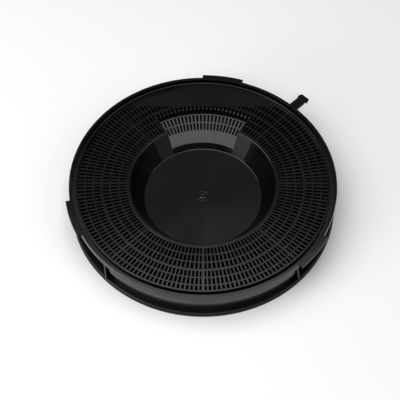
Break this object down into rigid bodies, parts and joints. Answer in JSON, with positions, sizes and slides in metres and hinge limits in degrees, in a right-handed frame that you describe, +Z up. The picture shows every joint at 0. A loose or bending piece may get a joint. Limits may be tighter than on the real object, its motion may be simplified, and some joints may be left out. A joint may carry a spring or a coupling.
{
  "type": "cooker hood carbon filter",
  "caption": "Round bayonet charcoal filter for a cooker hood: black casing with side recesses, tabs and finger lever, slotted cover with a central cup and a sunken ramp, with carbon inside.",
  "frame": {"origin": "middle of the flat base, on the axis of the filter", "axes": "+Z up out of the motor side grille, +Y towards the sunken ramp, +X to the right of it"},
  "size_m": [0.2418, 0.2438, 0.034],
  "materials": {
    "casing_plastic": "semi-gloss moulded black",
    "cover_plastic": "semi-gloss moulded black",
    "carbon": "dull granules",
    "fleece": "matt nonwoven"
  },
  "bodies": {
    "root": {"casing": "casing_plastic", "motor_side_cover": "cover_plastic", "carbon_bed": "carbon", "upper_fleece": "fleece", "lower_fleece": "fleece"}
  },
  "joints": []
}
